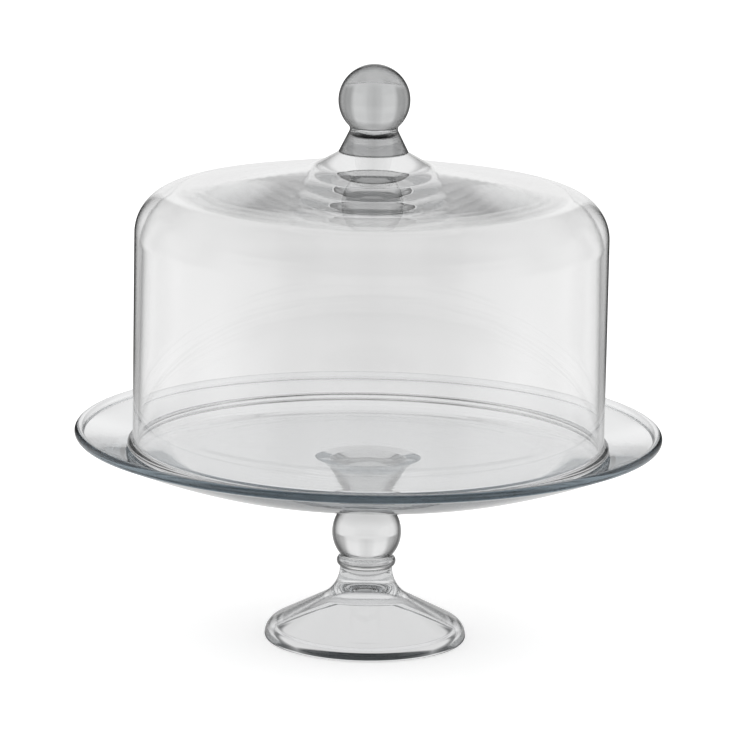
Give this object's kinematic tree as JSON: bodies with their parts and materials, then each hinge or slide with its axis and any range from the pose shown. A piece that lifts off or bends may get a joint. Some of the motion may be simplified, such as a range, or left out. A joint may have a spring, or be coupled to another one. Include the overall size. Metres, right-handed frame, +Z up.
{
  "type": "cake stand with dome",
  "caption": "Clear glass cake stand: a round plate with a rolled edge on a ball-stemmed bell foot, and a lift-off domed glass cover with a ball knob.",
  "frame": {"origin": "centre of the underside of the foot, on the table", "axes": "+Z up along the common axis of foot, stem, plate, dome and knob; every piece is round about it"},
  "size_m": [0.333, 0.333, 0.3305],
  "materials": {
    "clear_glass": "clear fire-polished pressed glass, faintly grey-blue where it is thick",
    "clear_film": "clear cured film between two pieces of glass"
  },
  "bodies": {
    "stand": {"pedestal_foot": "clear_glass", "pedestal_stem": "clear_glass", "plate_joint_film": "clear_film", "serving_plate": "clear_glass"},
    "dome": {"dome_shell": "clear_glass", "knob_joint_film": "clear_film", "dome_knob": "clear_glass"}
  },
  "joints": [
    {"name": "dome_lift", "type": "slide", "parent": "stand", "child": "dome", "axis": [0, 0, 1], "range_m": [0, 0.18]}
  ]
}
